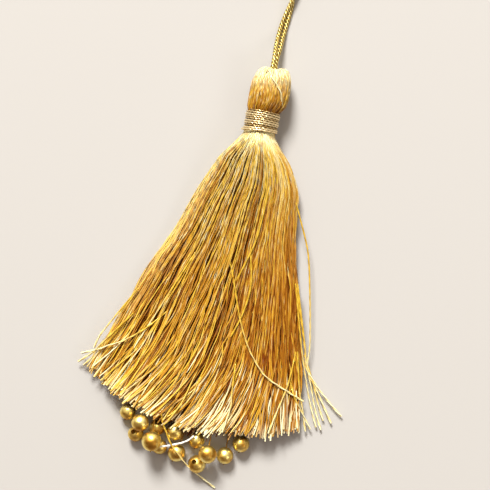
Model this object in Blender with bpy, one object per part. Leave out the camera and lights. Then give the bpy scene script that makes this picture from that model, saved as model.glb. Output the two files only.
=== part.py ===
"""A silk tassel lying on a surface. One hank of silk thread is folded over a doubled metallic cord, bound
below the fold with metallic thread, and cut off below, with metal beads on some of its inner threads.

Sizes are in millimetres and become metres where a mesh is made. +Z is up and +Y runs up the tassel, from
the cut ends to the loop. The tables are measured from the lower edge of the neck wrap, on its axis; the
empty at the end moves the whole so that its origin is at the middle of its underside."""

import math
import random
from collections import namedtuple

import bmesh
import bpy
from mathutils import Vector

for old in list(bpy.data.objects):
    bpy.data.objects.remove(old, do_unlink=True)

MM = 0.001
GAP = 0.3

# The neck and its wrap. The head's axis is a little lower than its radius, which leaves a flat spot.
AXIS_HEIGHT = 4.6
NECK_RADIUS = 3.3
WRAP_RADIUS = 4.2
WRAP_LENGTH = 5.3
WRAP_TURNS = 10
WRAP_GROOVE = 0.24
WRAP_SIDES = 32

# The folded head: rings up the axis, with the ring's radius and how far its middle leans to +X.
HeadRing = namedtuple("HeadRing", "y radius lean")
HEAD = [
    HeadRing(y=5.6, radius=3.3, lean=0.0),
    HeadRing(y=5.75, radius=4.15, lean=0.0),
    HeadRing(y=7.2, radius=4.5, lean=0.0),
    HeadRing(y=9.6, radius=4.8, lean=0.1),
    HeadRing(y=12.2, radius=4.85, lean=0.2),
    HeadRing(y=14.2, radius=4.45, lean=0.35),
    HeadRing(y=15.5, radius=3.6, lean=0.55),
    HeadRing(y=16.3, radius=2.4, lean=0.75),
    HeadRing(y=16.25, radius=1.8, lean=0.8),
    HeadRing(y=15.95, radius=1.5, lean=0.8),
]
HEAD_RIB = 0.018

# The skirt: its left and right edge, its top and its underside, down the tassel.
SkirtRow = namedtuple("SkirtRow", "y left right top under")
SKIRT = [
    SkirtRow(y=-0.5, left=-4.4, right=4.5, top=8.8, under=0.5),
    SkirtRow(y=-2.6, left=-6.1, right=6.8, top=9.1, under=0.2),
    SkirtRow(y=-4.8, left=-7.4, right=8.3, top=9.0, under=0.05),
    SkirtRow(y=-7.0, left=-8.4, right=9.5, top=8.7, under=0.0),
    SkirtRow(y=-12.7, left=-10.9, right=12.1, top=7.9, under=0.0),
    SkirtRow(y=-18.2, left=-13.1, right=13.5, top=7.0, under=0.0),
    SkirtRow(y=-27.0, left=-16.3, right=14.9, top=5.9, under=0.0),
    SkirtRow(y=-36.0, left=-20.7, right=16.1, top=5.1, under=0.0),
    SkirtRow(y=-50.0, left=-25.8, right=18.4, top=4.7, under=0.0),
    SkirtRow(y=-63.0, left=-29.9, right=21.5, top=5.1, under=0.0),
    SkirtRow(y=-72.0, left=-32.4, right=23.3, top=5.8, under=0.0),
]
SIDE_DROP = 0.8
BACKING_END = -7.0
FLARE_RINGS = [-5.4, -3.8, -2.4, -1.4, -0.8, -0.5]
FLARE_RIB = 0.012

# The locks: columns across the skirt and layers through it, each with its own share of that grid.
LOCK_COLUMNS = 40
LOCK_LAYERS = 5
LOCK_STEPS = [0.0, 0.16, 0.38, 0.68, 1.0]
LOCK_FILL = 0.76
ROOT_FILL = 0.8
LOCK_UNEVEN = 1.2

# Where the scissors went, across the skirt.
CutPoint = namedtuple("CutPoint", "x y")
CUT = [
    CutPoint(x=-30.1, y=-63.8),
    CutPoint(x=-25.2, y=-67.2),
    CutPoint(x=-20.9, y=-68.9),
    CutPoint(x=-12.5, y=-71.6),
    CutPoint(x=-0.5, y=-73.3),
    CutPoint(x=4.6, y=-72.2),
    CutPoint(x=14.2, y=-72.5),
    CutPoint(x=22.7, y=-69.8),
]
SHORT_LAYERS = 3
SHORT_BY = 2.4

# The beads. A strung one hangs on the lock of this layer that comes down at hem_x; the others have
# their holes turned up and lie under their neighbours.
Bead = namedtuple("Bead", "name x y z radius hem_x layer")
BEADS = [
    Bead("bead_01", x=-19.1, y=-71.7, z=1.97, radius=1.97, hem_x=-18.3, layer=2),
    Bead("bead_02", x=-15.6, y=-73.5, z=5.05, radius=2.1, hem_x=-15.2, layer=4),
    Bead("bead_03", x=-16.3, y=-76.6, z=1.94, radius=1.94, hem_x=None, layer=None),
    Bead("bead_04", x=-12.1, y=-77.3, z=5.85, radius=2.4, hem_x=-12.3, layer=4),
    Bead("bead_05", x=-11.5, y=-74.2, z=1.92, radius=1.92, hem_x=-11.2, layer=2),
    Bead("bead_06", x=-7.1, y=-74.4, z=2.1, radius=2.1, hem_x=-7.0, layer=2),
    Bead("bead_07", x=-10.1, y=-78.6, z=1.85, radius=1.85, hem_x=None, layer=None),
    Bead("bead_08", x=-5.8, y=-79.3, z=2.15, radius=2.15, hem_x=-2.4, layer=2),
    Bead("bead_09", x=-1.6, y=-75.5, z=2.0, radius=2.0, hem_x=-0.6, layer=2),
    Bead("bead_10", x=1.6, y=-78.0, z=5.35, radius=2.2, hem_x=1.5, layer=4),
    Bead("bead_11", x=-0.5, y=-81.1, z=2.2, radius=2.2, hem_x=None, layer=None),
    Bead("bead_12", x=5.8, y=-77.9, z=2.05, radius=2.05, hem_x=5.2, layer=2),
    Bead("bead_13", x=9.1, y=-74.4, z=2.05, radius=2.05, hem_x=9.4, layer=2),
]
HEM_Y = -66.5
HOLE_RADIUS = 0.62
BEAD_SIDES = 12
BEAD_STEPS = 6
BEAD_THREAD = 0.17
THREAD_PAST_BEAD = 0.35
LOOSE_HOLE = Vector((-0.35, 0.3, 0.89))

# Loose locks at the skirt's sides and one long thread over the beads, each with the places that it
# passes after it leaves the skirt.
Stray = namedtuple("Stray", "column layer size route")
STRAYS = [
    Stray(39, 0, 0.26, [(17.4, -37.0, 0.3), (20.2, -52.5, 0.3), (23.4, -56.4, 0.3), (31.7, -63.7, 0.3)]),
    Stray(38, 0, 0.28, [(16.4, -46.0, 0.3), (20.0, -56.0, 0.3), (29.4, -66.0, 0.3)]),
    Stray(37, 0, 0.28, [(17.0, -50.0, 0.3), (20.6, -60.0, 0.3), (26.9, -67.8, 0.3)]),
    Stray(0, 1, 0.26, [(-25.5, -46.0, 1.2), (-30.0, -55.5, 0.7), (-32.9, -59.6, 0.35)]),
    Stray(18, 4, 0.2, [
        (-8.6, -70.5, 5.6), (-7.3, -75.5, 5.2), (-5.9, -79.4, 4.9), (-3.6, -83.0, 2.3),
        (0.4, -85.6, 0.4), (4.6, -88.4, 0.22),
    ]),
]

# The hanging loop, one cord from its first end in the head, round the eye and back.
CORD_RADIUS = 0.5
CORD_STEP = 2.0
CORD_ROUTE = [
    (0.22, 16.25, 4.6), (0.2, 18.2, 4.35), (0.12, 20.6, 3.1), (0.16, 23.2, 1.5), (0.42, 26.2, 0.62),
    (1.1, 29.6, 0.95), (1.95, 32.8, 1.62), (3.0, 36.4, 1.3), (4.3, 40.0, 0.56), (5.9, 45.0, 0.52),
    (7.1, 52.0, 0.52), (6.9, 59.0, 0.52), (5.4, 64.6, 0.52), (2.6, 67.4, 0.52), (-0.4, 65.6, 0.52),
    (-2.3, 60.0, 0.52), (-2.7, 52.5, 0.52), (-1.7, 45.0, 0.52), (0.1, 39.5, 0.52), (1.6, 35.6, 0.52),
    (2.1, 32.4, 0.52), (1.9, 29.0, 0.52), (1.6, 26.2, 0.55), (1.34, 23.2, 1.4), (1.34, 20.6, 3.05),
    (1.38, 18.2, 4.35), (1.38, 16.25, 4.6),
]

random.seed(11)


def finish(name, colour, roughness, metallic):
    """A plain Principled finish."""
    material = bpy.data.materials.new(name)
    material.use_nodes = True
    shader = material.node_tree.nodes["Principled BSDF"]
    shader.inputs["Base Color"].default_value = (*colour, 1.0)
    shader.inputs["Roughness"].default_value = roughness
    shader.inputs["Metallic"].default_value = metallic
    return material


SILK = finish("gold_silk", (0.61, 0.33, 0.035), 0.38, 0.0)
METAL_THREAD = finish("metallic_thread", (0.55, 0.4, 0.17), 0.35, 0.7)
BEAD_METAL = finish("bead_metal", (0.6, 0.36, 0.09), 0.25, 1.0)


def ring_of(bm, points):
    return [bm.verts.new(Vector(point) * MM) for point in points]


def bridge(bm, low, high):
    """Quads from one closed ring to the next."""
    for k in range(len(low)):
        after = (k + 1) % len(low)
        bm.faces.new((low[k], low[after], high[after], high[k]))


def add_object(name, bm, material):
    bmesh.ops.recalc_face_normals(bm, faces=bm.faces[:])
    mesh = bpy.data.meshes.new(name)
    bm.to_mesh(mesh)
    bm.free()
    mesh.materials.append(material)
    mesh.shade_smooth()
    mesh.set_sharp_from_angle(angle=math.radians(40))
    made = bpy.data.objects.new(name, mesh)
    bpy.context.scene.collection.objects.link(made)
    return made


def between(rows, key, place, column):
    """The column's value where the key column has this place, on straight lines between the rows."""
    rows = sorted(rows, key=lambda row: getattr(row, key))
    if place <= getattr(rows[0], key):
        return getattr(rows[0], column)
    for low, high in zip(rows, rows[1:]):
        if place <= getattr(high, key):
            share = (place - getattr(low, key)) / (getattr(high, key) - getattr(low, key))
            return getattr(low, column) + share * (getattr(high, column) - getattr(low, column))
    return getattr(rows[-1], column)


def skirt_point(across, up, y):
    """A place in the skirt's section: across runs 0 to 1 from left to right, up 0 to 1 from the underside
    to the crowned top, which falls away to the sides."""
    left, right, top, under = (between(SKIRT, "y", y, column) for column in ("left", "right", "top", "under"))
    crown = math.sqrt(1 - SIDE_DROP * (2 * across - 1) ** 2)
    return Vector((left + (right - left) * across, y, under + (top - under) * up * crown))


def lock_section(column, layer, y, fill, shift):
    """The four corners of a lock, inside its own share of the skirt's grid."""
    slack = (1 - fill) / 2
    left = (column + slack * (1 + shift[0])) / LOCK_COLUMNS
    low = (layer + slack * shift[1]) / LOCK_LAYERS
    right = left + fill / LOCK_COLUMNS
    high = low + fill / LOCK_LAYERS
    corners = ((left, low), (right, low), (right, high), (left, high))
    return [skirt_point(across, up, y) for across, up in corners]


def square_section(place, direction, half):
    """Four corners round a place on a thread's route, square to its direction, in a lock's order."""
    side = Vector((0, 0, 1)).cross(direction).normalized()
    over = direction.cross(side)
    corners = ((-1, -1), (1, -1), (1, 1), (-1, 1))
    return [place + half * (s * side + o * over) for s, o in corners]


def route_sections(route, half):
    """Square sections along a route, each turned to the mean of the runs beside it."""
    points = [Vector(point) for point in route]
    sections = []
    for k in range(1, len(points)):
        ahead = points[min(k + 1, len(points) - 1)]
        direction = (ahead - points[k - 1]).normalized()
        sections.append(square_section(points[k], direction, half))
    return sections


def hole_axis(bead):
    """The direction of a bead's hole: along its thread, or turned up on a loose one."""
    if bead.hem_x is None:
        return LOOSE_HOLE.normalized()
    return (Vector((bead.x, bead.y, bead.z)) - hem_point(bead)).normalized()


def column_at(hem_x):
    left, right = (between(SKIRT, "y", HEM_Y, column) for column in ("left", "right"))
    return min(LOCK_COLUMNS - 1, int((hem_x - left) / (right - left) * LOCK_COLUMNS))


def hem_point(bead):
    corners = lock_section(column_at(bead.hem_x), bead.layer, HEM_Y, LOCK_FILL, (0, 0))
    return sum(corners, Vector()) / 4


def bead_thread_sections(bead):
    """A lock thins to one thread at the hem and goes straight through its bead."""
    middle = Vector((bead.x, bead.y, bead.z))
    axis = hole_axis(bead)
    places = (hem_point(bead), middle - (bead.radius + 1.0) * axis, middle + (bead.radius + THREAD_PAST_BEAD) * axis)
    return [square_section(place, axis, BEAD_THREAD) for place in places]


def clear_of_beads(corners):
    """Whether this section stays a gap away from every bead."""
    for bead in BEADS:
        middle = Vector((bead.x, bead.y, bead.z))
        if min((corner - middle).length for corner in corners) < bead.radius + 2 * GAP:
            return False
    return True


def cut_end(column, layer, shift):
    """Where a lock ends: at the scissors' line, a little uneven, and before any bead in its way."""
    across = (column + 0.5) / LOCK_COLUMNS
    guess = between(CUT, "x", skirt_point(across, 0, CUT[0].y).x, "y")
    end = between(CUT, "x", skirt_point(across, 0, guess).x, "y")
    end += random.uniform(-LOCK_UNEVEN, LOCK_UNEVEN)
    if layer < SHORT_LAYERS:
        end += SHORT_BY
    while not clear_of_beads(lock_section(column, layer, end, LOCK_FILL, shift)):
        end += GAP
    return end


def lock_sections(column, layer, end, shift, steps):
    """Sections from the backing to this end, drifting from the middle of the lock's share to one side."""
    sections = []
    for step in steps:
        y = BACKING_END + (end - BACKING_END) * step
        drift = (shift[0] * step, shift[1] * step)
        sections.append(lock_section(column, layer, y, LOCK_FILL, drift))
    return sections


def skirt_edge_ring():
    """The places round the skirt's section, as (across, up), in the order of the cap's outer corners."""
    across = [(k / LOCK_COLUMNS, 0) for k in range(LOCK_COLUMNS)]
    right = [(1, k / LOCK_LAYERS) for k in range(LOCK_LAYERS)]
    back = [(1 - k / LOCK_COLUMNS, 1) for k in range(LOCK_COLUMNS)]
    left = [(0, 1 - k / LOCK_LAYERS) for k in range(LOCK_LAYERS)]
    return across + right + back + left


def round_ring(y, radius, lean, rib, count):
    """A ribbed ring round the neck's axis, flat where it would go below the floor."""
    first = -math.pi / 2 - 2 * math.pi * LOCK_COLUMNS / 2 / count
    points = []
    for k in range(count):
        angle = first + 2 * math.pi * k / count
        reach = radius * (1 + rib * (-1) ** k)
        points.append(Vector((lean + reach * math.cos(angle), y, max(0, AXIS_HEIGHT + reach * math.sin(angle)))))
    return points


def flare_ring(y, edge):
    """Between the round neck and the skirt's wide section, part of the way down."""
    share = min(1, (y + GAP) / (BACKING_END + GAP)) ** 0.5
    neck = round_ring(y, WRAP_RADIUS, 0, 0, len(edge))
    points = []
    for k, (across, up) in enumerate(edge):
        wide = skirt_point(across, up, y)
        place = neck[k].lerp(wide, share)
        middle = Vector((0, y, AXIS_HEIGHT))
        place = middle + (place - middle) * (1 + FLARE_RIB * (-1) ** k)
        place.z = max(0, place.z)
        points.append(place)
    return points


def build_hank():
    """Head, neck and flare are one turned body, whose lower end is a grid of cells. Each cell carries a
    lock, so the locks stand apart but for their roots."""
    bm = bmesh.new()
    grid = [
        [bm.verts.new(skirt_point(i / LOCK_COLUMNS, j / LOCK_LAYERS, BACKING_END) * MM) for j in range(LOCK_LAYERS + 1)]
        for i in range(LOCK_COLUMNS + 1)
    ]
    bead_at = {(column_at(bead.hem_x), bead.layer): bead for bead in BEADS if bead.hem_x is not None}
    stray_at = {(stray.column, stray.layer): stray for stray in STRAYS}
    for i in range(LOCK_COLUMNS):
        for j in range(LOCK_LAYERS):
            shift = (random.uniform(-1, 1), random.uniform(0, 1))
            sections = [lock_section(i, j, BACKING_END, ROOT_FILL, (0, 0.5))]
            if (i, j) in bead_at:
                sections += lock_sections(i, j, HEM_Y + 2, (0, 0), LOCK_STEPS[1:])
                sections += bead_thread_sections(bead_at[i, j])
            elif (i, j) in stray_at:
                stray = stray_at[i, j]
                leave = stray.route[0][1] + 6
                start = sum(lock_section(i, j, leave, LOCK_FILL, (0, 0)), Vector()) / 4
                sections += lock_sections(i, j, leave, (0, 0), (0.3, 0.65, 1))
                sections += route_sections([start] + stray.route, stray.size)
            else:
                end = cut_end(i, j, shift)
                sections += lock_sections(i, j, end, shift, LOCK_STEPS[1:])
            cell = [grid[i][j], grid[i + 1][j], grid[i + 1][j + 1], grid[i][j + 1]]
            for section in sections:
                ring = ring_of(bm, section)
                bridge(bm, cell, ring)
                cell = ring
            bm.faces.new(cell)
    edge = skirt_edge_ring()
    low = [grid[round(a * LOCK_COLUMNS)][round(u * LOCK_LAYERS)] for a, u in edge]
    for y in FLARE_RINGS:
        high = ring_of(bm, flare_ring(y, edge))
        bridge(bm, low, high)
        low = high
    high = ring_of(bm, round_ring(-GAP, NECK_RADIUS, 0, 0, len(edge)))
    bridge(bm, low, high)
    low = high
    for k, row in enumerate(HEAD):
        rib = HEAD_RIB if 0 < k < len(HEAD) - 2 else 0
        high = ring_of(bm, round_ring(row.y, row.radius, row.lean, rib, len(edge)))
        bridge(bm, low, high)
        low = high
    bm.faces.new(low)
    return add_object("silk_hank", bm, SILK)


def build_wrap():
    """A sleeve of side-by-side turns, with a ridge for each, a gap off the neck."""
    inner = NECK_RADIUS + GAP
    profile = [(0, inner)]
    for k in range(2 * WRAP_TURNS + 1):
        groove = WRAP_GROOVE if k % 2 == 0 else 0
        profile.append((WRAP_LENGTH * k / (2 * WRAP_TURNS), WRAP_RADIUS - groove))
    profile.append((WRAP_LENGTH, inner))
    bm = bmesh.new()
    rings = []
    for y, radius in profile:
        turn = [2 * math.pi * k / WRAP_SIDES for k in range(WRAP_SIDES)]
        rings.append(ring_of(bm, [(radius * math.cos(a), y, AXIS_HEIGHT + radius * math.sin(a)) for a in turn]))
    for k, ring in enumerate(rings):
        bridge(bm, ring, rings[(k + 1) % len(rings)])
    return add_object("neck_wrap", bm, METAL_THREAD)


def build_bead(bead):
    """A ball turned round its hole."""
    axis = hole_axis(bead)
    side = Vector((0, 0, 1)).cross(axis).normalized()
    over = axis.cross(side)
    middle = Vector((bead.x, bead.y, bead.z))
    mouth = math.asin(HOLE_RADIUS / bead.radius)
    bm = bmesh.new()
    rings = []
    for k in range(BEAD_STEPS + 1):
        angle = mouth + (math.pi - 2 * mouth) * k / BEAD_STEPS
        centre = middle - bead.radius * math.cos(angle) * axis
        reach = bead.radius * math.sin(angle)
        turn = [2 * math.pi * n / BEAD_SIDES for n in range(BEAD_SIDES)]
        rings.append(ring_of(bm, [centre + reach * (math.cos(a) * side + math.sin(a) * over) for a in turn]))
    for k, ring in enumerate(rings):
        bridge(bm, ring, rings[(k + 1) % len(rings)])
    return add_object(bead.name, bm, BEAD_METAL)


def smooth_route(route, step):
    """Points every step along the Catmull-Rom curve through the route's points."""
    points = [Vector(point) for point in route]
    ends = [2 * points[0] - points[1]] + points + [2 * points[-1] - points[-2]]
    fine = []
    for k in range(1, len(ends) - 2):
        before, start, end, after = ends[k - 1 : k + 3]
        for n in range(20):
            t = n / 20
            fine.append(
                0.5 * (2 * start + (end - before) * t + (2 * before - 5 * start + 4 * end - after) * t ** 2
                       + (3 * start - before - 3 * end + after) * t ** 3)
            )
    fine.append(points[-1])
    along = [0.0]
    for a, b in zip(fine, fine[1:]):
        along.append(along[-1] + (b - a).length)
    count = round(along[-1] / step)
    spaced = []
    k = 0
    for n in range(count):
        wanted = along[-1] * n / count
        while along[k + 1] < wanted:
            k += 1
        share = (wanted - along[k]) / (along[k + 1] - along[k])
        spaced.append(fine[k].lerp(fine[k + 1], share))
    return spaced + [points[-1]]


def build_loop():
    """The doubled cord: a round tube along the loop's route, with filled ends."""
    curve = bpy.data.curves.new("hanger_loop", "CURVE")
    curve.dimensions = "3D"
    curve.bevel_depth = CORD_RADIUS * MM
    curve.bevel_resolution = 2
    curve.use_fill_caps = True
    spots = smooth_route(CORD_ROUTE, CORD_STEP)
    spline = curve.splines.new("POLY")
    spline.points.add(len(spots) - 1)
    for point, spot in zip(spline.points, spots):
        point.co = (*(spot * MM), 1.0)
    curve.materials.append(METAL_THREAD)
    made = bpy.data.objects.new("hanger_loop", curve)
    bpy.context.scene.collection.objects.link(made)
    return made


def underside_middle(objects):
    """The middle of the box round these objects, at its lowest level."""
    corners = [vertex.co for made in objects for vertex in made.data.vertices]
    low = [min(corner[k] for corner in corners) for k in range(3)]
    high = [max(corner[k] for corner in corners) for k in range(3)]
    return Vector(((low[0] + high[0]) / 2, (low[1] + high[1]) / 2, low[2]))


solids = [build_hank(), build_wrap()]
solids += [build_bead(bead) for bead in BEADS]
origin = bpy.data.objects.new("tassel_origin", None)
bpy.context.scene.collection.objects.link(origin)
origin.location = -underside_middle(solids)
for made in solids + [build_loop()]:
    made.parent = origin
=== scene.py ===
"""A gold silk tassel, as it lies with its head up: a hank of shiny twisted thread folded over a doubled
metallic cord, bound with metallic thread, and fanned out to its cut ends, where metal beads lie.

Sizes are in millimetres, counted from the lower edge of the neck wrap on its axis, with +X to the right,
+Y up the tassel and +Z up from the surface. They become metres in the frame when a mesh is made."""

import bpy
import numpy as np
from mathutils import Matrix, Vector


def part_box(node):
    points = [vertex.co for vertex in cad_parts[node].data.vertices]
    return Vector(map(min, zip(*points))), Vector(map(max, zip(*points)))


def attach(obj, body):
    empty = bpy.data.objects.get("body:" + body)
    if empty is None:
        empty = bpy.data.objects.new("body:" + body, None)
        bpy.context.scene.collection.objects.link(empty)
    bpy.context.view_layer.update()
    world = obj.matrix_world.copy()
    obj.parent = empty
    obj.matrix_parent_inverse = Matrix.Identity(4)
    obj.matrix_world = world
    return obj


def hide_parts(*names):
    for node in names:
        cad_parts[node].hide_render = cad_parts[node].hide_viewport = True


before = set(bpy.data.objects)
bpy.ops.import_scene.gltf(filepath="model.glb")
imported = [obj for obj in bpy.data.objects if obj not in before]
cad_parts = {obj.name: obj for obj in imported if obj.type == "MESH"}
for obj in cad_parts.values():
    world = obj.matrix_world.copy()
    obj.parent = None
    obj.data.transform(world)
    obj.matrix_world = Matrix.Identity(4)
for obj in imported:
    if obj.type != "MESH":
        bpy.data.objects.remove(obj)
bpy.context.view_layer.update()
rng = np.random.default_rng(7)

# The hanging loop: one twisted cord of three metallic plies. Both ends go into the fold of the head, one
# under the other; the legs lie side by side, cross once and open into a plain eye on the surface.
MM = 0.001
wrap_low, wrap_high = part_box("neck_wrap")
ANCHOR = np.array([(wrap_low.x + wrap_high.x) / 2, wrap_low.y, 0.0]) / MM
CORD_RADIUS = 0.5
CORD_FULL = 0.57
CORD_ROUTE = [
    (0.3, 14.3, 4.6), (0.22, 16.25, 4.6), (0.2, 18.2, 4.35), (0.12, 20.6, 3.1), (0.16, 23.2, 1.5),
    (0.42, 26.2, 0.62), (1.1, 29.6, 0.95), (1.95, 32.8, 1.62), (3.0, 36.4, 1.3), (4.3, 40.0, 0.56),
    (5.9, 45.0, 0.52), (7.1, 52.0, 0.52), (6.9, 59.0, 0.52), (5.4, 64.6, 0.52), (2.6, 67.4, 0.52),
    (-0.4, 65.6, 0.52), (-2.3, 60.0, 0.52), (-2.7, 52.5, 0.52), (-1.7, 45.0, 0.52), (0.1, 39.5, 0.52),
    (1.6, 35.6, 0.52), (2.1, 32.4, 0.52), (1.9, 29.0, 0.52), (1.6, 26.2, 0.55), (1.34, 23.2, 1.4),
    (1.15, 20.6, 2.75), (0.85, 18.2, 3.6), (0.85, 16.25, 3.75), (0.9, 14.3, 3.8),
]
CORD_PLIES = 3
CORD_LAY = 2.7
CORD_PLY_DEPTH = 0.2
CORD_SIDES = 18
CORD_RING = 0.14
MAP_START = 9
SHARP_ANGLE = 1.4
UP = np.array([0.0, 0.0, 1.0])


def to_frame(points):
    """Millimetres from the wrap to metres in the frame: (point + anchor) times 0.001."""
    return (points + ANCHOR) * MM


def unit(vectors):
    """Each vector divided by its length."""
    return vectors / np.maximum(np.linalg.norm(vectors, axis=-1, keepdims=True), 1e-9)


def smooth_path(route, spacing):
    """The Catmull-Rom curve through the route's rows, of any number of columns, read at even steps of its
    own length: half of 2b + (c - a)t + (2a - 5b + 4c - d)t^2 + (3b - a - 3c + d)t^3 on each run."""
    rows = np.array(route, float)
    ends = np.vstack([2 * rows[0] - rows[1], rows, 2 * rows[-1] - rows[-2]])
    a, b, c, d = ends[:-3], ends[1:-2], ends[2:-1], ends[3:]
    t = np.linspace(0, 1, 24, endpoint=False)[:, None, None]
    fine = 0.5 * (2 * b + (c - a) * t + (2 * a - 5 * b + 4 * c - d) * t**2 + (3 * b - a - 3 * c + d) * t**3)
    fine = np.vstack([fine.transpose(1, 0, 2).reshape(-1, rows.shape[1]), rows[-1:]])
    along = np.concatenate([[0], np.cumsum(np.linalg.norm(np.diff(fine, axis=0), axis=1))])
    wanted = np.linspace(0, along[-1], max(2, round(along[-1] / spacing) + 1))
    return np.stack([np.interp(wanted, along, fine[:, k]) for k in range(rows.shape[1])], axis=1)


def frames_along(paths, side=None):
    """Unit tangent, side and over at every point: side is up crossed with the tangent where none is given,
    and over is the tangent crossed with side."""
    tangent = unit(np.gradient(paths, axis=-2))
    side = np.cross(UP, tangent) if side is None else side - tangent * (side * tangent).sum(-1, keepdims=True)
    side = unit(side)
    return tangent, side, np.cross(tangent, side)


def tube_grid(paths, radii, sides, side=None):
    """Rings round each path, as an array of threads, rings, sides and xyz: path + radius(cos a side +
    sin a over), with a going once round."""
    _, side, over = frames_along(paths, side)
    angle = 2 * np.pi * np.arange(sides) / sides
    turn = np.cos(angle)[:, None] * side[..., None, :] + np.sin(angle)[:, None] * over[..., None, :]
    return paths[..., None, :] + np.broadcast_to(radii, turn.shape[:-1])[..., None] * turn


def tube_mesh(name, grid, closed=False, **shades):
    """A mesh of quads between neighbouring rings, with flat ends, or joined end to start where closed. Its
    map runs 0 to 1 round the tube and in millimetres along it from a random start, and its shades are kept
    on its points."""
    threads, rings, sides, _ = grid.shape
    index = np.arange(threads * rings * sides).reshape(threads, rings, sides)
    beside = np.roll(index, -1, axis=2)
    last = None if closed else -1
    ahead, ahead_beside = (np.roll(kind, -1, axis=1)[:, :last] for kind in (index, beside))
    quads = np.stack([index[:, :last], beside[:, :last], ahead_beside, ahead], axis=-1).reshape(-1, 4)
    caps = [] if closed else np.concatenate([index[:, 0, ::-1], index[:, -1]]).tolist()
    mesh = bpy.data.meshes.new(name)
    mesh.from_pydata(to_frame(grid.reshape(-1, 3)), [], quads.tolist() + caps)
    middles = grid.mean(axis=2)
    steps = np.linalg.norm(np.diff(middles, axis=1, append=middles[:, :1]), axis=-1)
    along = np.concatenate([np.zeros((threads, 1)), np.cumsum(steps, axis=1)], axis=1)
    along += rng.uniform(0, MAP_START, (threads, 1))
    spans = rings if closed else rings - 1
    v = np.broadcast_to(along[:, :spans, None], (threads, spans, sides))
    v_ahead = np.broadcast_to(along[:, 1 : spans + 1, None], (threads, spans, sides))
    u = np.broadcast_to(np.arange(sides) / sides, (threads, spans, sides))
    u_beside = u + 1 / sides
    places = np.stack([u, v, u_beside, v, u_beside, v_ahead, u, v_ahead], axis=-1).reshape(-1)
    layer = mesh.uv_layers.new(name="along")
    values = np.zeros(len(mesh.loops) * 2, np.float32)
    values[: len(places)] = places
    layer.data.foreach_set("uv", values)
    for shade, value in shades.items():
        kept = np.broadcast_to(value, (threads, rings, sides)).astype(np.float32).reshape(-1)
        mesh.attributes.new(shade, "FLOAT", "POINT").data.foreach_set("value", kept)
    mesh.shade_smooth()
    mesh.set_sharp_from_angle(angle=SHARP_ANGLE)
    mesh.validate()
    piece = bpy.data.objects.new(name, mesh)
    bpy.context.scene.collection.objects.link(piece)
    return piece


def new_finish(name, roughness, metallic=0.0):
    """A material with its Principled shader set, and the shader and a node maker to go on with."""
    material = bpy.data.materials.new(name)
    material.use_nodes = True
    tree = material.node_tree
    shader = tree.nodes["Principled BSDF"]
    shader.inputs["Roughness"].default_value = roughness
    shader.inputs["Metallic"].default_value = metallic

    def node(kind, inputs=(), **settings):
        made = tree.nodes.new(kind)
        for key, value in settings.items():
            setattr(made, key, value)
        for key, value in dict(inputs).items():
            if isinstance(value, bpy.types.NodeSocket):
                tree.links.new(value, made.inputs[key])
            else:
                made.inputs[key].default_value = value
        return made

    return material, shader, node, tree


def ramp_colours(node, factor, stops):
    """A colour ramp through these (place, colour) stops."""
    ramp = node("ShaderNodeValToRGB", {"Fac": factor})
    elements = ramp.color_ramp.elements
    while len(elements) < len(stops):
        elements.new(0.5)
    for element, (place, colour) in zip(elements, stops):
        element.position = place
        element.color = (*colour, 1.0)
    return ramp.outputs["Color"]


def twist_height(node, plies, lay):
    """Height of a twisted yarn's surface: a sine of turns round the yarn plus length over its lay."""
    place = node("ShaderNodeUVMap", uv_map="along").outputs["UV"]
    split = node("ShaderNodeSeparateXYZ", {0: place})
    around = node("ShaderNodeMath", {0: split.outputs["X"], 1: 2 * np.pi * plies}, operation="MULTIPLY")
    forward = node("ShaderNodeMath", {0: split.outputs["Y"], 1: 2 * np.pi / lay}, operation="MULTIPLY")
    phase = node("ShaderNodeMath", {0: around.outputs[0], 1: forward.outputs[0]}, operation="ADD")
    return node("ShaderNodeMath", {0: phase.outputs[0]}, operation="SINE").outputs[0]


def metallic_yarn(name, plies, lay, stops, depth):
    """Foil-covered yarn: bright metal, darker in its grooves as painted shade, whose fine cover twists round
    it.
    """
    material, shader, node, tree = new_finish(name, 0.28, 0.85)
    place = node("ShaderNodeTexCoord").outputs["Object"]
    noise = node("ShaderNodeTexNoise", {"Vector": place, "Scale": 1500.0, "Detail": 2.0})
    # Painted shade: the colour is darker where the crest value is low, in the grooves, and lighter on the
    # crests.
    crest = node("ShaderNodeAttribute", attribute_name="crest").outputs["Fac"]
    uneven = node("ShaderNodeMath", {0: noise.outputs["Fac"], 1: 0.6, 2: -0.3}, operation="MULTIPLY_ADD")
    tone = node("ShaderNodeMath", {0: crest, 1: uneven.outputs[0]}, operation="ADD").outputs[0]
    tree.links.new(ramp_colours(node, tone, stops), shader.inputs["Base Color"])
    height = twist_height(node, plies, lay)
    bump = node("ShaderNodeBump", {"Height": height, "Strength": 0.7, "Distance": depth * MM})
    tree.links.new(bump.outputs["Normal"], shader.inputs["Normal"])
    return material


# The cord's colours run from painted shade in the grooves between its plies to its lighter crests.
CORD_STOPS = [(0.1, (0.14, 0.08, 0.01)), (0.5, (0.58, 0.4, 0.08)), (0.9, (0.9, 0.76, 0.32))]
cord_path = smooth_path(CORD_ROUTE, CORD_RING) + (0, 0, CORD_FULL - CORD_RADIUS)
cord_along = CORD_RING * np.arange(len(cord_path))
angles = 2 * np.pi * np.arange(CORD_SIDES) / CORD_SIDES
lobes = np.cos(CORD_PLIES * angles[None, :] + 2 * np.pi * CORD_PLIES / CORD_LAY * cord_along[:, None])
cord_radii = CORD_FULL - CORD_PLY_DEPTH * ((1 - lobes) / 2) ** 1.5
# The ply lobes set where the painted groove shade falls.
loop = tube_mesh("loop_cord", tube_grid(cord_path[None], cord_radii, CORD_SIDES), crest=(1 + lobes) / 2)
loop.data.materials.append(metallic_yarn("loop_foil", 1, 0.34, CORD_STOPS, 0.05))
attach(loop, "root")
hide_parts("hanger_loop")
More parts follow.
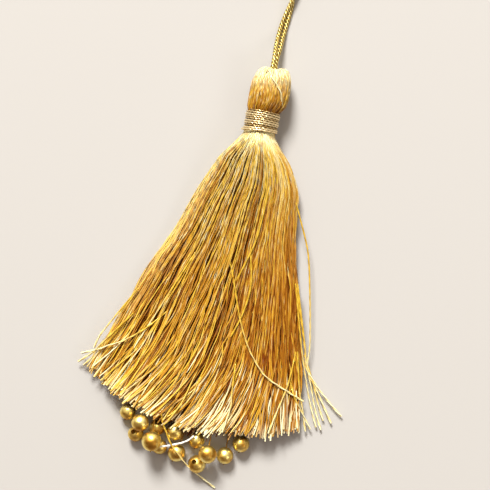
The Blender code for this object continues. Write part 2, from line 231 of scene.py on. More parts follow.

# The silk: shiny twisted filament thread, about a third of a millimetre thick. Each thread has its own
# tone, with painted shade and painted highlights mixed in; its cut end is paler, a painted highlight, and
# its two plies show as short bright dashes, from bumps and from painted highlights on their crests.
THREAD_RADIUS = 0.2
THREAD_LAY = 2.8
# Tones from deep brown to pale gold; the darkest are reached mostly through painted shade under other
# threads.
SILK_STOPS = [
    (0.0, (0.14, 0.027, 0.003)), (0.3, (0.25, 0.08, 0.006)), (0.6, (0.45, 0.195, 0.011)),
    (1.0, (0.69, 0.435, 0.036)),
]
# The pale colour that painted highlights and paler parts of threads are mixed towards.
PALE_AND_HIGHLIGHT_COLOUR = (0.92, 0.87, 0.54, 1.0)
LUSTRE_STOPS = [(0.0, (1.0, 0.5, 0.12)), (0.45, (1.0, 0.84, 0.27)), (1.0, (1.0, 0.9, 0.4))]


def silk_finish():
    """Gold filament silk: base and sheen from the thread's tone, which carries painted shade and light; mixed
    towards a pale colour, mostly by painted highlights, more on the crests of its twist; and ridged where
    it's twisted."""
    material, shader, node, tree = new_finish("gold_silk_thread", 0.23)
    shader.inputs["IOR"].default_value = 1.7
    tone = node("ShaderNodeAttribute", attribute_name="tone").outputs["Fac"]
    tip = node("ShaderNodeAttribute", attribute_name="tip").outputs["Fac"]
    # The sheen's strength and tint follow the tone too, so painted shade also dulls it.
    gleam = node("ShaderNodeMapRange", {"Value": tone, "From Min": 0.2, "From Max": 0.8, "To Min": 0.25})
    tree.links.new(gleam.outputs["Result"], shader.inputs["Specular IOR Level"])
    tree.links.new(ramp_colours(node, tone, LUSTRE_STOPS), shader.inputs["Specular Tint"])
    colour = ramp_colours(node, tone, SILK_STOPS)
    twist = node("ShaderNodeAttribute", attribute_name="twist").outputs["Fac"]
    height = twist_height(node, 2, THREAD_LAY)
    ridge = node("ShaderNodeMath", {0: height, 1: twist}, operation="MULTIPLY").outputs[0]
    # Painted highlight: the crests of the twist are paler.
    crest = node("ShaderNodeMath", {0: ridge, 1: 1.2, 2: 1.0}, operation="MULTIPLY_ADD").outputs[0]
    pale = node("ShaderNodeMath", {0: tip, 1: crest}, operation="MULTIPLY", use_clamp=True).outputs[0]
    mix = node("ShaderNodeMix", {0: pale}, data_type="RGBA")
    tree.links.new(colour, mix.inputs[6])
    mix.inputs[7].default_value = PALE_AND_HIGHLIGHT_COLOUR
    tree.links.new(mix.outputs[2], shader.inputs["Base Color"])
    bump = node("ShaderNodeBump", {"Height": ridge, "Strength": 1.0, "Distance": 0.12 * MM})
    tree.links.new(bump.outputs["Normal"], shader.inputs["Normal"])
    return material


silk = silk_finish()

# The head: the same hank folded over the cord. Its threads spread from the dimple where the cord comes
# out, run over the crown, cross a little and go down under the wrap, round a solid core of thread. It
# bulges a little over the wrap on its right.
AXIS_HEIGHT = 4.6
HEAD = [
    (14.4, 0.9, 0.9), (15.3, 1.25, 0.9), (15.75, 1.9, 0.9), (15.6, 2.8, 0.86), (14.9, 3.5, 0.78),
    (13.7, 4.1, 0.72), (11.9, 4.45, 0.68), (9.6, 4.62, 0.7), (8.2, 4.55, 0.65), (7.0, 4.35, 0.48),
    (6.0, 4.0, 0.15), (5.2, 3.6, 0.0), (4.4, 3.3, 0.0),
]
HEAD_THREADS = 400
HEAD_RINGS = 28
HEAD_THREAD_RADIUS = 0.8 * THREAD_RADIUS
HEAD_TONE = 0.66
HEAD_SHADE = 0.38
CROWN_END = 0.47
DIMPLE = 0.55
head_rows = smooth_path(HEAD, 0.1)
share = np.linspace(0, 1, HEAD_RINGS)
read = share * (len(head_rows) - 1)
head_y, head_radius, head_lean = (
    np.interp(read, np.arange(len(head_rows)), head_rows[:, k]) for k in range(3)
)


def one_each(count, low, high):
    """A random value for each thread, as a column."""
    return rng.uniform(low, high, (count, 1))


start = 2 * np.pi * (np.arange(HEAD_THREADS)[:, None] + one_each(HEAD_THREADS, -0.6, 0.6)) / HEAD_THREADS
drift = one_each(HEAD_THREADS, -0.3, 0.3) * share
wave = one_each(HEAD_THREADS, 0.0, 0.05) * np.sin(
    one_each(HEAD_THREADS, 5, 14) * share + one_each(HEAD_THREADS, 0, 6)
)
around = start + drift + wave
lift = one_each(HEAD_THREADS, -0.2, 0.1) + 0.12 * np.sin(one_each(HEAD_THREADS, 3, 9) * share + start * 7)
reach = head_radius + lift
dip = (DIMPLE * np.abs(np.sin(around)) ** 6 - 0.2 * np.cos(around)) * np.exp(-((share / 0.3) ** 2))
head_paths = np.stack([
    head_lean + reach * np.cos(around),
    head_y - dip,
    np.maximum(AXIS_HEIGHT + reach * np.sin(around), THREAD_RADIUS),
], axis=-1)
head_side = np.stack([np.sin(around), 0 * around, -np.cos(around)], axis=-1)
# Painted shade: lower-lying threads and the lower head next to the wrap are darker.
head_tone = np.clip(
    HEAD_TONE + 0.6 * lift + one_each(HEAD_THREADS, -0.2, 0.2) - HEAD_SHADE * share**4, 0, 1
)
# Painted highlight on the crown, with painted glints, mixed towards the pale colour.
crown_tip = one_each(HEAD_THREADS, 0.45, 1) * np.exp(-((share / CROWN_END) ** 4))
head_glints = rng.uniform(0, 1, (HEAD_THREADS, HEAD_RINGS)) ** 10 * (1 - share**2)
crown_tip = np.maximum(crown_tip, head_glints)
head = tube_mesh(
    "head_threads", tube_grid(head_paths, HEAD_THREAD_RADIUS, 6, head_side), tone=head_tone[..., None],
    tip=crown_tip[..., None], twist=0.6,
)
head.data.materials.append(silk)
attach(head, "root")
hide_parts("silk_hank")

# The core of the head and neck: the same thread packed tight, which shows only between the outer threads.
# It leans to the right with the head.
CORE = [(14.6, 0.0), (14.7, 1.2), (15.1, 2.0), (14.5, 3.1), (13.4, 3.8), (11.6, 4.2), (9.6, 4.25), (7.0, 4.0),
        (5.4, 3.3), (2.6, 3.3), (-0.2, 3.3), (-0.9, 3.8), (-2.6, 3.9), (-5.0, 3.7), (-8.0, 3.2), (-11.0, 0.0)]
CORE_SIDES = 96
core_rows = smooth_path(CORE, 0.35)
core_turn = 2 * np.pi * np.arange(CORE_SIDES) / CORE_SIDES
core_reach = np.maximum(core_rows[:, 1:], 0.01) * (1 + 0.02 * np.cos(24 * core_turn))
core_lean = np.interp(core_rows[:, :1], (5, 8, 16), (0, 0.65, 0.85))
core_grid = np.stack([
    core_lean + core_reach * np.cos(core_turn),
    np.broadcast_to(core_rows[:, :1], core_reach.shape),
    np.maximum(AXIS_HEIGHT + core_reach * np.sin(core_turn), 0.05),
], axis=-1)[None]
core = tube_mesh("hank_core", core_grid, tone=0.6, tip=0.3, twist=0.0)
core.data.materials.append(silk)
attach(core, "root")
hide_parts("silk_hank")

# The neck wrap: one metallic thread of two plies, wound side by side round the neck, its turns a little
# uneven in height and pitch, the lowest ones lower on the left.
WRAP_TURNS = 9.4
WRAP_RADIUS = 3.92
WRAP_FIRST = 0.22
WRAP_LAST = 5.06
WRAP_RING = 0.12
PLY_OFFSET = 0.08
PLY_RADIUS = 0.165
PLY_LAY = 2.2
wound = np.arange(0, 2 * np.pi * WRAP_TURNS, WRAP_RING / WRAP_RADIUS)
uneven = 0.06 * np.sin(2.3 * wound / (2 * np.pi) + 1) + 0.04 * np.sin(5.1 * wound / (2 * np.pi))
wrap_reach = WRAP_RADIUS + 0.1 * np.sin(1.9 * wound / (2 * np.pi)) + 0.5 * uneven
wrap_share = wound / wound[-1]
wrap_reach = wrap_reach + 0.45 * np.exp(-((wrap_share / 0.1) ** 2)) * np.clip(-np.cos(wound), 0, 1)
wrap_tilt = 0.3 * (1 - wrap_share) ** 2 * np.cos(wound)
wrap_middle = np.stack([
    wrap_reach * np.cos(wound),
    WRAP_FIRST + (WRAP_LAST - WRAP_FIRST) * wrap_share + 0.4 * uneven + wrap_tilt,
    AXIS_HEIGHT + wrap_reach * np.sin(wound),
], axis=-1)
radial = np.stack([np.cos(wound), 0 * wound, np.sin(wound)], axis=-1)
_, wrap_side, wrap_over = frames_along(wrap_middle, radial)
ply_turn = 2 * np.pi * WRAP_RING * np.arange(len(wound)) / PLY_LAY + np.pi * np.arange(2)[:, None]
plies = wrap_middle + PLY_OFFSET * (
    np.cos(ply_turn)[..., None] * wrap_side + np.sin(ply_turn)[..., None] * wrap_over
)
# The wrap's colours run from painted shade in the valleys between turns to its lighter crests, set by how far
# out each point lies.
WRAP_STOPS = [(0.15, (0.14, 0.07, 0.02)), (0.5, (0.5, 0.33, 0.12)), (0.95, (0.92, 0.74, 0.42))]
wrap_grid = tube_grid(plies, PLY_RADIUS, 7, wrap_side)
outward = np.hypot(wrap_grid[..., 0], wrap_grid[..., 2] - AXIS_HEIGHT)
wrap_crest = np.clip((outward - WRAP_RADIUS + 0.05) / 0.28, 0, 1)
wrap = tube_mesh("wrap_turns", wrap_grid, crest=wrap_crest)
wrap.data.materials.append(metallic_yarn("wrap_foil", 1, 0.8, WRAP_STOPS, 0.02))
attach(wrap, "root")
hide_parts("neck_wrap")

# The skirt: the hank's cut ends below the wrap. The threads puff out under the binding, fan out in
# layers, bend to the left above the hem, gather in small locks towards their tips and stop at the
# scissors' line, or at a bead.
SKIRT = [
    (2.0, -3.3, 3.3, 7.9, 1.3), (-0.5, -4.4, 4.5, 8.9, 0.4), (-2.6, -6.1, 6.4, 9.4, 0.2),
    (-4.8, -7.4, 7.9, 9.3, 0.1), (-7.0, -8.4, 9.1, 8.7, 0.1), (-12.7, -10.9, 11.7, 7.9, 0.1),
    (-18.2, -13.1, 12.4, 7.0, 0.1), (-27.0, -16.3, 13.7, 5.9, 0.1), (-36.0, -20.4, 16.1, 5.1, 0.1),
    (-50.0, -25.4, 19.0, 4.7, 0.1), (-56.0, -27.4, 20.5, 4.9, 0.1), (-63.0, -29.8, 21.2, 5.2, 0.1),
    (-72.0, -32.4, 22.2, 6.1, 0.1), (-78.0, -34.0, 23.0, 6.6, 0.1),
]
SIDE_DROP = 0.8
CUT = [
    (-34.0, -61.0), (-30.1, -63.0), (-25.2, -66.4), (-20.9, -68.4), (-12.5, -71.6), (-0.5, -73.3),
    (4.6, -72.2), (14.2, -71.4), (20.8, -69.0), (22.7, -68.0), (26.0, -67.0),
]
BEAD_NAMES = [f"bead_{number:02d}" for number in range(1, 14)]
bead_boxes = np.array([[tuple(corner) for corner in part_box(name)] for name in BEAD_NAMES]) / MM
bead_middles = bead_boxes.mean(axis=1) - ANCHOR
bead_radii = (bead_boxes[:, 1] - bead_boxes[:, 0]).max(axis=1) / 2
skirt_rows = smooth_path(SKIRT, 0.4)[::-1]
SKIRT_START = 1.2
NECK_ACROSS = 3.5
NECK_UP = 3.2
SPREAD_LENGTH = 6.9
THREADS_A_LOCK = 6
SWING = 0.19
SWING_FADE = 14
WAVE_LENGTHS = (12, 34)


def skirt_place(across, up, y):
    """The place at a share across and up the skirt's section: x = left + across(right - left), z = under +
    up(top - under) sqrt(1 - drop(2 across - 1)^2), drawn from a round neck of the same shares."""
    left, right, top, under = (np.interp(y, skirt_rows[:, 0], skirt_rows[:, k]) for k in range(1, 5))
    a, b = 2 * across - 1, 2 * up - 1
    wide_x = left + (right - left) * across
    wide_z = under + (top - under) * up * np.sqrt(np.maximum(1 - SIDE_DROP * a**2, 0.04))
    neck_x = NECK_ACROSS * a * np.sqrt(np.maximum(1 - b**2 / 2, 0))
    neck_z = AXIS_HEIGHT + NECK_UP * b * np.sqrt(np.maximum(1 - a**2 / 2, 0))
    spread = np.clip((-y - 0.1) / SPREAD_LENGTH, 0, 1) ** 0.45
    return neck_x + (wide_x - neck_x) * spread, neck_z + (wide_z - neck_z) * spread


def skirt_paths(across, up, end, rings, stray, slack, sweep):
    """Threads down the skirt in nearly even steps of y, with t going from 0 to 1. A thread's share across
    the skirt is across + swing(1 - exp(-s/14)) at s mm above its end + pull t^2 + drift t^1.7, with the
    pull towards its lock's middle. Its waves are x + a t^0.8 sin(ky + p), with finer ones of 2.7k, and
    z + b t sin(1.3ky + q), with a rise. Swing, drift and waves are partly its lock's."""
    count = len(across)
    t = np.linspace(0, 1, rings) ** 1.1
    y = SKIRT_START + (end - SKIRT_START) * t
    locks = count // THREADS_A_LOCK
    edges = np.sort(rng.uniform(0, 1, locks - 1))
    which = np.searchsorted(0.5 * edges + 0.5 * np.linspace(0, 1, locks + 1)[1:-1], across)
    owner = np.array([across[which == one].mean() if (which == one).any() else 0 for one in range(locks)])
    middle = owner[which]

    def own(low, high, joint=0.6):
        """Random for each thread, a share of it the same for the whole lock."""
        together = rng.uniform(low, high, locks)[which]
        return joint * together + (1 - joint) * rng.uniform(low, high, (count, 1))

    grip = one_each(count, 0.1, 0.8) * t**2
    drift = (own(-stray, stray, 0.5) + one_each(count, -1, 1) ** 5 * 2 * stray) * t**1.7
    swing = SWING * np.sin(np.pi * np.clip(across / 0.85, 0, 1)) ** 0.8 * sweep * own(0.6, 1.4, 0.4)
    swung = across + swing * (1 - np.exp((end - y) / SWING_FADE))
    x, z = skirt_place(np.clip(swung + (middle - across) * grip + drift, 0.0, 1.0), up, y)
    k = 2 * np.pi / own(*WAVE_LENGTHS, 0.7)
    phase = own(0, 12, 0.8)
    x = x + slack * own(0.2, 1.2) * t**0.8 * np.sin(k * y + phase)
    x = x + 0.25 * slack * one_each(count, 0, 1) * np.sin(2.7 * k * y + one_each(count, 0, 6.3))
    z = z + slack * own(-1, 1, 0.8) * t * up + 0.5 * slack * t * np.sin(1.3 * k * y + one_each(count, 0, 6.3))
    return np.stack([x, y, np.maximum(z, THREAD_RADIUS)], axis=-1), which


def ends_before_beads(paths, end):
    """The ends, drawn back to where a thread would first come into a bead."""
    off = np.linalg.norm(paths[:, :, None] - bead_middles, axis=-1) - bead_radii
    inside = (off < THREAD_RADIUS + 0.05).any(axis=-1)
    first = np.where(inside.any(axis=1), inside.argmax(axis=1), paths.shape[1] - 1)
    reached = paths[np.arange(len(paths)), np.maximum(first - 1, 0), 1][:, None]
    return np.where(inside.any(axis=1)[:, None], reached, end)


# Tone values; the depth, neck, cut and left-side terms are painted shade and painted highlights.
TONE = 0.515
TONE_OWN = (-0.34, 0.32)
TONE_LOCK = 0.12
LOCKS_AT_MOST = 400
TONE_BANDS = 0.07
PAINTED_SHADE_DEPTH = 2.2
PAINTED_NECK_LIGHT = 0.38
NECK_FADE = 24
PAINTED_CUT_LIGHT = 0.26
PAINTED_EDGE_LIGHT = 0.25
EDGE_WIDTH = 0.04


def skirt_tones(paths, which, across, up, t):
    """Tones from 0, deep brown, to 1, pale gold. Each is its own and its lock's at random, in bands across
    the skirt. Painted shade makes it darker by 2.2(1 - up)(1 - (2 across - 1)^4) for a thread under others,
    and down the thread it's darker by (0.42 across - 0.06)t. Painted highlights make it lighter by 0.38
    e^(y/24) under the wrap, at the left side and near the cut. The share of the left side comes back too."""
    lock = rng.uniform(-TONE_LOCK, TONE_LOCK, LOCKS_AT_MOST)[which] + TONE_BANDS * np.sin(21 * across + 2)
    # Painted shade for threads lying under others.
    painted_shade_under = PAINTED_SHADE_DEPTH * (1 - up) * (1 - (2 * across - 1) ** 4)
    tone = TONE + one_each(len(across), *TONE_OWN) + lock - painted_shade_under
    # Painted highlight along the skirt's left side, fading down it.
    edge = np.exp(-((across / EDGE_WIDTH) ** 2)) * (1 - t)
    slope = (0.06 - 0.42 * across) * t
    # Painted highlight under the wrap and along the left side.
    tone = tone + PAINTED_NECK_LIGHT * np.exp(paths[..., 1] / NECK_FADE) + slope + PAINTED_EDGE_LIGHT * edge
    # Painted highlight near the cut.
    return tone + PAINTED_CUT_LIGHT * np.clip((t - 0.6) / 0.35, 0, 1), edge


TIP_LENGTH = 0.26
NECK_HIGHLIGHT_PLACE = -0.6
NECK_HIGHLIGHT_WIDTH = 2.8
SHINE_FADE = 11
GLINT_FADE = 40


def skirt_sheen(paths, across, up, t, tone, edge, outer):
    """How pale each point is, the most of these painted highlights: on the cut end, at random lengths; in a
    band under the wrap, e^-((y + 0.6)/2.8)^2; a shine, e^(y/11); single glints, e^(y/40), calmer on the
    right; and along the left side. The three in the middle are for the outer layers alone, and the shine and
    glints for light threads. With it comes how strong the twist shows, which fades down the thread but for
    the glints."""
    count, rings = len(across), len(t)
    y = paths[..., 1]
    tip = np.clip((t - 1 + one_each(count, 0.2, 1) ** 3 * TIP_LENGTH) / 0.06, 0, 1)
    tip = tip * one_each(count, 0, 1) ** 0.8
    tip = tip * np.clip((up - 0.3) / 0.5, 0.2, 1)
    # Painted highlight in a band under the wrap.
    painted_neck_highlight = np.exp(-(((y - NECK_HIGHLIGHT_PLACE) / NECK_HIGHLIGHT_WIDTH) ** 2)) * outer
    # Painted shine and painted glints on the outer layers.
    shine = np.exp(np.minimum(y, 0) / SHINE_FADE) * outer * one_each(count, 0, 1) ** 2.6
    calm = 1 - 0.6 * np.clip(across / 0.7, 0, 1) ** 2
    glints = 2 * calm * rng.uniform(0, 1, (count, rings)) ** 9
    glints = glints * np.exp(np.minimum(y, 0) / GLINT_FADE) * outer
    lit = np.clip((tone - 0.3) / 0.45, 0.15, 1)
    # The pale factor: painted highlights on the cut ends, under the wrap, in the shine and glints, and along
    # the left side.
    tip = np.maximum.reduce([tip, one_each(count, 0.5, 1) * painted_neck_highlight, shine * lit, glints * lit, 0.4 * edge])
    twist = np.clip(0.05 + 0.65 * calm * (1 - t) ** 1.4 + glints, 0, 1)
    return tip, twist


def skirt_layer(name, count, low, high, rings, sides, stray, slack, sweep, shorter):
    """One layer of the skirt's threads as a joined mesh, up being between low and high. The ends are found
    from where the tips come to lie, and the same threads are then drawn again to those ends."""
    across = (np.arange(count)[:, None] + one_each(count, -0.7, 0.7)) / count
    up = one_each(count, low, high)
    uneven = rng.normal(shorter, 0.6, (count, 1))
    state = rng.bit_generator.state
    end = np.full((count, 1), -70.0)
    for _ in range(3):
        rng.bit_generator.state = state
        paths, which = skirt_paths(across, up, end, rings, stray, slack, sweep)
        tip_x = paths[:, -1:, 0]
        hidden = 3.0 * np.exp(-(((tip_x + 4) / 10) ** 2)) * (high < 0.7)
        end = np.interp(tip_x, *np.array(CUT).T) + uneven - hidden
    end = ends_before_beads(paths, end)
    rng.bit_generator.state = state
    paths, which = skirt_paths(across, up, end, rings, stray, slack, sweep)
    t = np.linspace(0, 1, rings)
    thinned = 0.76 + 0.1 * t + 0.2 * np.clip((t - 0.95) / 0.04, 0, 1)
    radii = THREAD_RADIUS * one_each(count, 0.7, 1.1) * thinned
    tone, edge = skirt_tones(paths, which, across, up, t)
    tip, twist = skirt_sheen(paths, across, up, t, tone, edge, low > 0.5)
    piece = tube_mesh(
        name, tube_grid(paths, radii[..., None], sides), tone=np.clip(tone, 0, 1)[..., None],
        tip=tip[..., None], twist=twist[..., None],
    )
    piece.data.materials.append(silk)
    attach(piece, "root")
    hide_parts("silk_hank")


# Each layer has its number of threads, from and to where it lies, its rings and sides, how far threads
# stray, how they wave, how they bend to the left, and how much shorter they are cut.
SKIRT_LAYERS = [
    ("skirt_under", 420, 0.0, 0.6, 26, 5, 0.03, 0.4, 0.4, 2.0),
    ("skirt_middle", 380, 0.6, 0.88, 38, 5, 0.05, 0.4, 0.9, 1.1),
    ("skirt_top", 300, 0.88, 1.0, 54, 6, 0.06, 0.5, 1.0, 0.0),
    ("skirt_strays", 60, 1.0, 1.04, 54, 6, 0.1, 0.6, 1.0, 0.6),
]
for layer in SKIRT_LAYERS:
    skirt_layer(*layer)

# Loose threads: the few that have left their locks. One crosses the head, seven fan out at the skirt's
# right and five at its left, some cross the skirt, one long one lies down over the beads, and a short
# off-white one lies among them.
LOOSE = [
    [(-0.6, 14.9, 8.4), (0.2, 13.6, 9.25), (1.4, 12.2, 9.5), (2.9, 10.5, 9.1), (3.6, 9.0, 8.5),
     (4.0, 7.4, 7.3), (4.1, 6.2, 5.6)],
    [(11.6, -15.0, 5.2), (13.4, -18.8, 4.6), (15.8, -24.0, 3.8), (17.2, -28.2, 3.5), (19.0, -36.5, 3.2),
     (20.5, -44.3, 2.8), (21.2, -48.9, 2.6), (21.3, -52.3, 2.4), (21.9, -54.1, 2.2), (23.9, -56.8, 1.8),
     (26.7, -59.5, 1.2), (30.6, -62.8, 1.0), (31.8, -63.6, 0.9)],
    [(15.5, -34.0, 4.4), (18.6, -44.0, 3.4), (20.4, -49.9, 2.9), (21.2, -53.5, 2.4), (25.3, -59.3, 1.2),
     (29.6, -65.7, 0.9)],
    [(15.4, -35.0, 4.2), (18.8, -45.0, 3.2), (20.9, -51.9, 2.6), (21.6, -53.9, 2.3), (23.2, -57.8, 1.7),
     (25.0, -62.6, 1.0), (27.4, -67.7, 0.9)],
    [(15.0, -34.0, 4.0), (17.8, -44.0, 3.6), (19.3, -49.2, 3.2), (21.1, -54.7, 2.6), (23.6, -61.5, 1.4),
     (26.2, -67.3, 0.9)],
    [(18.2, -57.5, 2.6), (19.2, -60.0, 3.4), (20.1, -61.6, 3.3), (22.0, -64.1, 2.4), (24.9, -68.0, 1.3)],
    [(18.4, -50.0, 3.8), (20.6, -59.2, 3.2), (21.6, -61.9, 2.6), (22.6, -64.9, 1.8), (23.8, -68.7, 1.3)],
    [(20.2, -50.5, 2.6), (23.5, -56.8, 1.8), (25.4, -61.1, 1.2), (27.6, -65.4, 0.9)],
    [(-14.0, -46.0, 3.7), (-18.6, -51.2, 4.6), (-23.1, -54.9, 4.3), (-26.1, -56.5, 3.9), (-28.8, -58.1, 3.2),
     (-32.7, -59.8, 2.2)],
    [(-22.0, -48.0, 4.0), (-28.2, -56.5, 3.4), (-30.0, -59.1, 2.8), (-33.1, -62.0, 1.6)],
    [(-22.6, -49.0, 3.8), (-28.7, -57.5, 3.0), (-30.0, -60.4, 2.4), (-31.7, -62.6, 1.5)],
    [(-24.0, -51.0, 3.6), (-29.0, -59.5, 2.6), (-30.0, -61.5, 2.2), (-30.7, -62.8, 1.4)],
    [(-22.0, -42.0, 3.4), (-28.3, -53.3, 2.4), (-29.3, -55.5, 2.0), (-30.0, -58.0, 1.4)],
    [(-11.2, -69.5, 6.0), (-10.4, -72.2, 5.6), (-8.9, -74.9, 4.9), (-7.3, -77.4, 4.7), (-5.0, -79.6, 4.6),
     (-2.5, -81.9, 3.3), (0.8, -84.0, 1.2), (4.8, -86.2, 0.3)],
]
OVER = [
    [(-2.5, -28.8), (0.1, -35.5), (3.4, -44.7), (6.5, -50.9), (9.6, -55.0), (12.4, -57.5), (17.5, -59.8),
     (22.0, -61.6)],
    [(4.6, -10.6), (4.3, -19.9), (3.7, -25.9), (2.4, -30.9), (0.6, -37.0)],
    [(2.6, -25.0), (3.1, -28.8), (4.3, -34.5), (4.5, -38.7), (3.5, -44.7), (1.0, -52.0)],
    [(18.2, -48.0), (17.7, -57.2), (17.0, -61.3), (16.1, -65.2), (15.0, -70.5)],
    [(4.2, -54.0), (4.7, -62.6), (5.0, -65.8), (4.1, -72.1)],
    [(-9.6, -30.0), (-16.6, -47.0), (-22.0, -60.0)],
]


def skirt_top(x, y):
    """The height of the skirt's top at a place: under + (top - under) sqrt(1 - drop a^2), a from -1 to 1."""
    left, right, top, under = (np.interp(y, skirt_rows[:, 0], skirt_rows[:, k]) for k in range(1, 5))
    a = (2 * x - left - right) / (right - left)
    return under + (top - under) * np.sqrt(np.maximum(1 - SIDE_DROP * a**2, 0.04))


def even_rings(route, rings):
    """The smooth curve through a route, read at this many even steps."""
    fine = smooth_path(route, 0.2)
    at = np.linspace(0, len(fine) - 1, rings)
    return np.stack([np.interp(at, np.arange(len(fine)), fine[:, k]) for k in range(fine.shape[1])], axis=1)


LOOSE_RINGS = 48
loose = [even_rings(route, LOOSE_RINGS) for route in LOOSE]
FREE_TIPS = (0, 3, 4)
OVER_LIFT = 0.6
OVER_DIVE = 1.6
DIVE_RINGS = 4.5
for number, route in enumerate(OVER):
    flat = even_rings(route, LOOSE_RINGS)
    from_start = np.arange(LOOSE_RINGS)
    from_end = from_start if number in FREE_TIPS else np.minimum(from_start, from_start[::-1])
    rise = OVER_LIFT - OVER_DIVE * np.exp(-from_end / DIVE_RINGS)
    loose.append(np.column_stack([flat, skirt_top(flat[:, 0], flat[:, 1]) + rise]))
loose = np.array(loose)
loose_tip = np.clip((np.linspace(0, 1, LOOSE_RINGS) - 0.35) / 0.5, 0, 1) * one_each(len(loose), 0.5, 1)
loose_tip[[-5, -4]] = 0
loose_tip[0] = 0.7
loose_t = np.linspace(0, 1, LOOSE_RINGS)
loose_radii = THREAD_RADIUS * (1 + 0.25 * np.clip((loose_t - 0.7) / 0.3, 0, 1))
loose_threads = tube_mesh(
    "loose_threads", tube_grid(loose, loose_radii[:, None], 6), tone=0.95, tip=loose_tip[..., None],
    twist=0.5,
)
loose_threads.data.materials.append(silk)
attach(loose_threads, "root")
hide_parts("silk_hank")

OFF_WHITE = [
    (-10.2, -78.4, 4.0), (-8.6, -78.0, 4.1), (-7.0, -77.4, 4.1), (-4.7, -76.4, 4.2), (-3.3, -75.4, 4.3),
    (-2.4, -74.3, 4.5),
]
OFF_WHITE_RADIUS = 0.24
white_thread = tube_mesh("off_white_thread", tube_grid(even_rings(OFF_WHITE, 40)[None], OFF_WHITE_RADIUS, 8))
white, white_shader, node, tree = new_finish("off_white_silk", 0.4)
white_shader.inputs["Base Color"].default_value = (0.86, 0.83, 0.74, 1.0)
plies_height = twist_height(node, 2, 1.6)
ridges = node("ShaderNodeBump", {"Height": plies_height, "Strength": 0.8, "Distance": 0.05 * MM})
tree.links.new(ridges.outputs["Normal"], white_shader.inputs["Normal"])
white_thread.data.materials.append(white)
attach(white_thread, "root")

# The beads: round metal beads, worn a little dull, each with a hole right through. The threads of the
# hank that carry them come from under the hem.
BEAD_SIDES = 48
BEAD_RINGS = 26
HOLE_RADIUS = 0.6
HOLE_RINGS = 4
LOOSE_HOLE = unit(np.array([-0.35, 0.3, 0.89]))
HEM_Y = -66.5
HEM = {
    "bead_01": (-18.3, HEM_Y, 2.35), "bead_02": (-15.6, HEM_Y, 4.4), "bead_04": (-12.9, HEM_Y, 4.5),
    "bead_05": (-11.6, HEM_Y, 2.45), "bead_06": (-7.6, HEM_Y, 2.5), "bead_08": (-2.4, HEM_Y, 2.5),
    "bead_09": (-1.0, HEM_Y, 2.5), "bead_10": (1.6, HEM_Y, 4.6), "bead_12": (5.6, HEM_Y, 2.4),
    "bead_13": (9.6, HEM_Y, 2.25),
}


def bead_finish():
    """Old gold metal: warm yellow with duller brown patches and a soft polish that varies."""
    material, shader, node, tree = new_finish("bead_old_gold", 0.3, 1.0)
    place = node("ShaderNodeTexCoord").outputs["Object"]
    patches = node("ShaderNodeTexNoise", {"Vector": place, "Scale": 420.0, "Detail": 4.0}).outputs["Fac"]
    stops = [(0.36, (0.45, 0.22, 0.03)), (0.5, (0.88, 0.63, 0.16)), (0.66, (1.0, 0.86, 0.34))]
    tree.links.new(ramp_colours(node, patches, stops), shader.inputs["Base Color"])
    grey = [(0.3, (0.48, 0.48, 0.48)), (0.7, (0.32, 0.32, 0.32))]
    tree.links.new(ramp_colours(node, patches, grey), shader.inputs["Roughness"])
    scratches = node("ShaderNodeTexNoise", {"Vector": place, "Scale": 1500.0, "Detail": 3.0}).outputs["Fac"]
    bump = node("ShaderNodeBump", {"Height": scratches, "Strength": 0.2, "Distance": 0.08 * MM})
    tree.links.new(bump.outputs["Normal"], shader.inputs["Normal"])
    return material


bead_metal = bead_finish()
for name, middle, radius in zip(BEAD_NAMES, bead_middles, bead_radii):
    hole = unit(middle - np.array(HEM[name])) if name in HEM else LOOSE_HOLE
    mouth = np.arcsin(HOLE_RADIUS / radius)
    polar = np.linspace(mouth, np.pi - mouth, BEAD_RINGS)
    inner = np.linspace(-1, 1, HOLE_RINGS + 2)[1:-1] * np.cos(mouth) * radius
    axial = np.concatenate([-radius * np.cos(polar), -inner])
    reach = np.concatenate([radius * np.sin(polar), np.full(HOLE_RINGS, HOLE_RADIUS)])
    side = unit(np.cross(UP, hole))
    over = np.cross(hole, side)
    turn = 2 * np.pi * np.arange(BEAD_SIDES) / BEAD_SIDES
    spoke = np.cos(turn)[:, None] * side + np.sin(turn)[:, None] * over
    dent = 1 - 0.012 * (1 + np.sin(3 * turn + 40 * radius)) * np.sin(2.2 * axial[:, None] + 9 * radius) ** 2
    grid = middle + axial[:, None, None] * hole + (reach[:, None] * dent)[..., None] * spoke
    bead = tube_mesh(name + "_ball", grid[None], closed=True)
    bead.data.materials.append(bead_metal)
    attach(bead, "root")
    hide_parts(name)

BEAD_THREAD_RADIUS = 0.16
BEAD_THREAD_RINGS = 12
BEAD_THREAD_SAG = 0.9
bead_paths = []
for name, hem in HEM.items():
    middle = bead_middles[BEAD_NAMES.index(name)]
    radius = bead_radii[BEAD_NAMES.index(name)]
    far = middle + unit(middle - np.array(hem)) * (radius + 0.2)
    straight = np.linspace(np.array(hem) + (0, 4, 0), far, BEAD_THREAD_RINGS)
    sag = BEAD_THREAD_SAG * np.sin(np.linspace(0, np.pi, BEAD_THREAD_RINGS))
    bead_paths.append(straight - sag[:, None] * UP)
bead_threads = tube_mesh(
    "bead_threads", tube_grid(np.array(bead_paths), BEAD_THREAD_RADIUS, 6), tone=0.5, tip=0.0, twist=1.0,
)
bead_threads.data.materials.append(silk)
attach(bead_threads, "root")

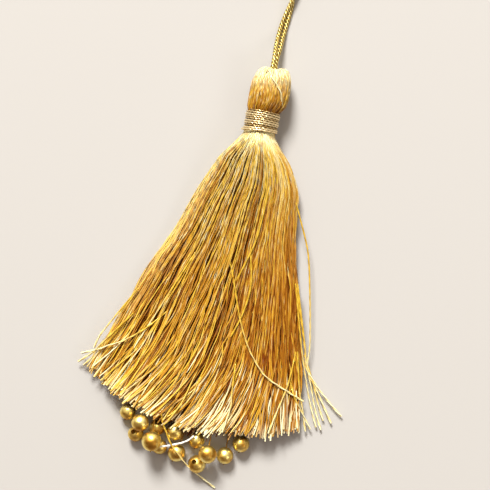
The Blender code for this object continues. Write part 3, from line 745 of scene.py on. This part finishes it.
# The studio: a pale surface, one big soft light from above the head's end, a weaker one from the right,
# a sky that is dark towards the hem, and the camera straight above, turned so that the tassel leans.
surface_mesh = bpy.data.meshes.new("surface")
surface_mesh.from_pydata([(-3, -3, 0), (3, -3, 0), (3, 3, 0), (-3, 3, 0)], [], [(0, 1, 2, 3)])
surface = bpy.data.objects.new("surface", surface_mesh)
bpy.context.scene.collection.objects.link(surface)
paper, paper_shader, _, _ = new_finish("pale_paper", 0.75)
paper_shader.inputs["Base Color"].default_value = (0.43, 0.41, 0.38, 1.0)
paper_shader.inputs["Specular IOR Level"].default_value = 0.1
surface_mesh.materials.append(paper)

VIEW_MIDDLE = np.array([1.4, -27.1, 4.0])
VIEW_WIDTH = 117.6
CAMERA_HEIGHT = 460.0
VIEW_LEAN = np.radians(10.4)
SENSOR = 36.0
image_up = np.array([-np.sin(VIEW_LEAN), np.cos(VIEW_LEAN), 0.0])
image_right = np.array([np.cos(VIEW_LEAN), np.sin(VIEW_LEAN), 0.0])

SKY_STOPS = [(0.2, (0.17, 0.1, 0.065)), (0.95, (1.0, 0.98, 0.92))]
SKY_STRENGTH = 1.15
world = bpy.data.worlds.new("studio")
bpy.context.scene.world = world
world.use_nodes = True
sky = world.node_tree
facing = sky.nodes.new("ShaderNodeTexCoord")
bright_way = sky.nodes.new("ShaderNodeVectorMath")
bright_way.operation = "DOT_PRODUCT"
bright_way.inputs[1].default_value = tuple(unit(image_up + 0.5 * UP))
sky.links.new(facing.outputs["Generated"], bright_way.inputs[0])
shades = sky.nodes.new("ShaderNodeValToRGB")
for element, (place, colour) in zip(shades.color_ramp.elements, SKY_STOPS):
    element.position = place
    element.color = (*colour, 1.0)
sky.links.new(bright_way.outputs["Value"], shades.inputs["Fac"])
sky.links.new(shades.outputs["Color"], sky.nodes["Background"].inputs["Color"])
sky.nodes["Background"].inputs["Strength"].default_value = SKY_STRENGTH


def aim(made, place, target, up):
    """Puts an object at a place, with its -Z at the target and its +Y nearest up."""
    back = unit(place - target)
    right = unit(np.cross(up, back))
    turn = np.stack([right, np.cross(back, right), back], axis=1)
    matrix = np.eye(4)
    matrix[:3, :3] = turn
    matrix[:3, 3] = to_frame(place)
    made.matrix_world = matrix.T.tolist()
    bpy.context.scene.collection.objects.link(made)


lens = bpy.data.cameras.new("camera")
lens.sensor_width = SENSOR
lens.lens = SENSOR * CAMERA_HEIGHT / VIEW_WIDTH
lens.clip_start = 0.01
lens.clip_end = 10
camera = bpy.data.objects.new("camera", lens)
aim(camera, VIEW_MIDDLE + (0, 0, CAMERA_HEIGHT), VIEW_MIDDLE, image_up)
bpy.context.scene.camera = camera

LIGHTS = [
    ("key", 1380 * image_up - 300 * image_right + 1350 * UP, 660.0, 76.5),
    ("fill", 450 * image_right - 300 * image_up + 500 * UP, 300.0, 1.0),
]
for name, place, size, power in LIGHTS:
    lamp = bpy.data.lights.new(name, "AREA")
    lamp.shape = "DISK"
    lamp.size = size * MM
    lamp.energy = power
    aim(bpy.data.objects.new(name, lamp), VIEW_MIDDLE + place, VIEW_MIDDLE, image_up)

bpy.context.scene.view_settings.view_transform = "Standard"
